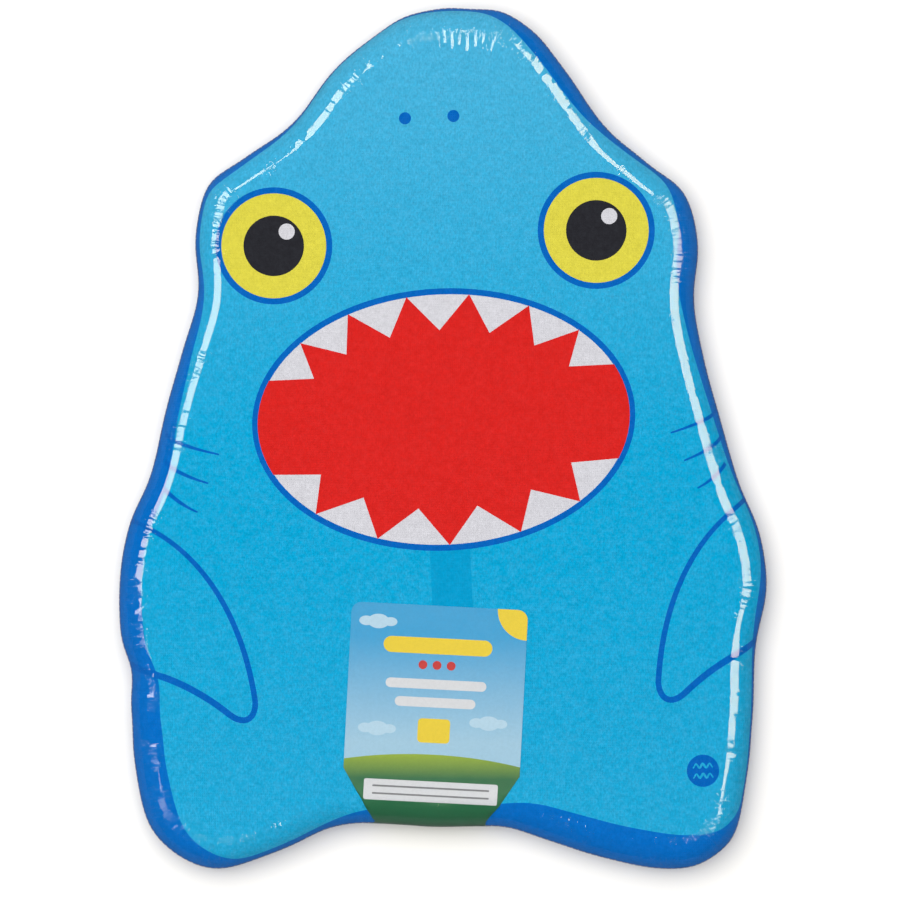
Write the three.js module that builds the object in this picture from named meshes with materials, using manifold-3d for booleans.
// A child's swimming kickboard: a moulded bead-foam core in a stretch fabric jacket made of a printed top
// cover and a plain bottom cover, sewn together round the rail. A folded card saddles the tail edge, and a
// clear shrink-wrap bag holds it there.
// Millimetres. +Z points up out of the printed face and +Y to the nose. The origin is the middle of the
// underside.
import * as THREE from 'three';
import { mergeVertices } from 'three/addons/utils/BufferGeometryUtils.js';
import Module from 'manifold-3d';

// Driving dimensions.
const THICKNESS = 34;
const RAIL_RADIUS = 16; // rounding of the top and bottom edges all round the board
const OUTLINE_SAMPLES = 120;
const RAIL_SEGMENTS = 4;

// The plan outline, clockwise from the nose, as [x, y]. The board isn't quite even: its snout leans to the
// right, its tail notch leans to the left, and its left side has a nick below the side fin.
const PLAN_POINTS = [
  [0, 215], // nose
  [13, 214.5],
  [26, 213.5],
  [42.5, 203.5],
  [58.5, 184.5],
  [79, 156.5], // hollow between the snout and the right eye
  [100.5, 138.5],
  [118.5, 124],
  [126, 99], // right eye
  [124.5, 70], // right cheek
  [130, 40.5],
  [138, 12.5],
  [148, -20],
  [158.5, -45],
  [162.5, -72], // right side fin, the widest place
  [157.5, -102],
  [156.5, -135],
  [153.5, -170],
  [146.5, -198.5],
  [129, -212],
  [110, -214], // right tail lobe
  [80, -208.5],
  [52, -200],
  [33, -194.5],
  [0, -194.5], // tail notch
  [-48.5, -194.5],
  [-80, -208],
  [-110, -217], // left tail lobe
  [-128.5, -211.5],
  [-144, -197],
  [-152, -170],
  [-155, -135],
  [-155.5, -116], // nick below the side fin
  [-160, -104],
  [-161.5, -72], // left side fin
  [-157, -45],
  [-147, -20.5],
  [-139.5, 13],
  [-132, 41],
  [-124.5, 70], // left cheek
  [-126, 99], // left eye
  [-119.5, 125],
  [-101.5, 139], // hollow between the left eye and the snout
  [-78.5, 156],
  [-57.5, 183.5],
  [-39, 199.5],
  [-22, 210.5],
];

// How deep each skin's outer surface lies below the outside of the bag, with a clear gap between skins.
const GAP = 0.3;
const FILM = { depth: 0, skin: 0.3 };
const CARD = { depth: FILM.depth + FILM.skin + GAP, skin: 0.4 };
const COVER = { depth: CARD.depth + CARD.skin + GAP, skin: 0.8 };
const CORE_DEPTH = COVER.depth + COVER.skin + GAP;

// The seam runs round the middle of the rail, with its thread in the slot between the two covers.
const SEAM_Z = THICKNESS / 2;
const THREAD_HALF_HEIGHT = 0.4;
const SEAM_HALF_SLOT = THREAD_HALF_HEIGHT + GAP;

// The card's plan shape: straight sides, then a taper to the fold over the tail edge.
const CARD_TOP = { x: -1.2, y: -82.4 };
const CARD_WIDTH = 87.4;
const CARD_STRAIGHT = 82.4;
const CARD_TAPER = 25.8;
const CARD_FOLD_WIDTH = 56.6;
const CARD_CORNER = 5;
const CARD_PAST_TAIL = 30; // how far the cutting shape runs past the fold
const CARD_LEAN = THREE.MathUtils.degToRad(2.2); // clockwise from above

// Vent holes through the underside of the bag.
const VENT_RADIUS = 2.5;
const VENT_X = 60;
const VENT_YS = [70, -20];

const wasm = await Module();
wasm.setup();

function toSolid(geometry) {
  const bare = geometry.clone();
  bare.deleteAttribute('normal');
  bare.deleteAttribute('uv');
  const merged = mergeVertices(bare);
  return new wasm.Manifold(new wasm.Mesh({
    numProp: 3,
    vertProperties: new Float32Array(merged.attributes.position.array),
    triVerts: new Uint32Array(merged.index.array),
  }));
}

function toGeometry(solid) {
  const { vertProperties, triVerts, numProp } = solid.getMesh();
  const positions = new Float32Array((vertProperties.length / numProp) * 3);
  for (let i = 0; i < positions.length; i += 3) {
    positions.set(vertProperties.subarray((i / 3) * numProp, (i / 3) * numProp + 3), i);
  }
  const geometry = new THREE.BufferGeometry();
  geometry.setAttribute('position', new THREE.BufferAttribute(positions, 3));
  geometry.setIndex(new THREE.BufferAttribute(new Uint32Array(triVerts), 1));
  geometry.computeVertexNormals();
  return geometry;
}

// The closed plan outline as a smooth curve, centred on the origin.
function boardShape() {
  const knots = PLAN_POINTS.map(([x, y]) => new THREE.Vector3(x, y, 0));
  const curve = new THREE.CatmullRomCurve3(knots, true, 'centripetal');
  const points = curve.getSpacedPoints(OUTLINE_SAMPLES).slice(0, -1);
  const middle = new THREE.Box3().setFromPoints(points).getCenter(new THREE.Vector3());
  return new THREE.Shape(points.map((p) => new THREE.Vector2(p.x - middle.x, p.y - middle.y)));
}

// The board with its rounded rail, every surface `depth` inside the outside of the bag.
function slab(depth) {
  const bevel = RAIL_RADIUS - depth;
  const geometry = new THREE.ExtrudeGeometry(OUTLINE, {
    depth: THICKNESS - 2 * RAIL_RADIUS,
    steps: 1,
    bevelEnabled: true,
    bevelThickness: bevel,
    bevelSize: bevel,
    bevelOffset: -RAIL_RADIUS,
    bevelSegments: RAIL_SEGMENTS,
  });
  geometry.translate(0, 0, RAIL_RADIUS);
  return toSolid(geometry);
}

// A skin that wraps the whole board.
function wrap({ depth, skin }) {
  return slab(depth).subtract(slab(depth + skin));
}

// A flat layer wider and longer than the board, for cutting it by height.
function layer(fromZ, toZ) {
  const reach = 1000;
  const geometry = new THREE.BoxGeometry(reach, reach, toZ - fromZ);
  geometry.translate(0, 0, (fromZ + toZ) / 2);
  return toSolid(geometry);
}

function foamCore() {
  return slab(CORE_DEPTH);
}

function topCover() {
  return wrap(COVER).intersect(layer(SEAM_Z + SEAM_HALF_SLOT, 2 * THICKNESS));
}

function bottomCover() {
  return wrap(COVER).intersect(layer(-THICKNESS, SEAM_Z - SEAM_HALF_SLOT));
}

function seamThread() {
  return wrap(COVER).intersect(layer(SEAM_Z - THREAD_HALF_HEIGHT, SEAM_Z + THREAD_HALF_HEIGHT));
}

function cardCutter() {
  const side = CARD_WIDTH / 2;
  const fold = CARD_FOLD_WIDTH / 2;
  const foldY = -CARD_STRAIGHT - CARD_TAPER;
  const shape = new THREE.Shape();
  shape.moveTo(-side, -CARD_STRAIGHT);
  shape.lineTo(-fold, foldY);
  shape.lineTo(-fold, foldY - CARD_PAST_TAIL);
  shape.lineTo(fold, foldY - CARD_PAST_TAIL);
  shape.lineTo(fold, foldY);
  shape.lineTo(side, -CARD_STRAIGHT);
  shape.lineTo(side, -CARD_CORNER);
  shape.absarc(side - CARD_CORNER, -CARD_CORNER, CARD_CORNER, 0, Math.PI / 2, false);
  shape.lineTo(-side + CARD_CORNER, 0);
  shape.absarc(-side + CARD_CORNER, -CARD_CORNER, CARD_CORNER, Math.PI / 2, Math.PI, false);
  const geometry = new THREE.ExtrudeGeometry(shape, {
    depth: 3 * THICKNESS,
    bevelEnabled: false,
    curveSegments: 5,
  });
  geometry.rotateZ(-CARD_LEAN);
  geometry.translate(CARD_TOP.x, CARD_TOP.y, -THICKNESS);
  return toSolid(geometry);
}

function labelCard() {
  return wrap(CARD).intersect(cardCutter());
}

function shrinkFilm() {
  let bag = wrap(FILM);
  for (const x of [-VENT_X, VENT_X]) {
    for (const y of VENT_YS) {
      const geometry = new THREE.CylinderGeometry(VENT_RADIUS, VENT_RADIUS, 4, 16);
      geometry.rotateX(Math.PI / 2);
      geometry.translate(x, y, 0);
      bag = bag.subtract(toSolid(geometry));
    }
  }
  return bag;
}

function part(name, solid, look) {
  const mesh = new THREE.Mesh(toGeometry(solid), new THREE.MeshStandardMaterial(look));
  mesh.name = name;
  return mesh;
}

const OUTLINE = boardShape();

const group = new THREE.Group();
group.add(
  part('foam_core', foamCore(), { color: 0xf4f4f1, roughness: 0.85, metalness: 0 }),
  part('top_cover', topCover(), { color: 0x2fa9db, roughness: 0.8, metalness: 0 }),
  part('bottom_cover', bottomCover(), { color: 0x0474c6, roughness: 0.8, metalness: 0 }),
  part('seam_thread', seamThread(), { color: 0x0567b4, roughness: 0.7, metalness: 0 }),
  part('label_card', labelCard(), { color: 0x3fa2cf, roughness: 0.45, metalness: 0 }),
  part('shrink_film', shrinkFilm(), {
    color: 0xffffff, roughness: 0.08, metalness: 0, transparent: true, opacity: 0.12,
  }),
);

export default group;
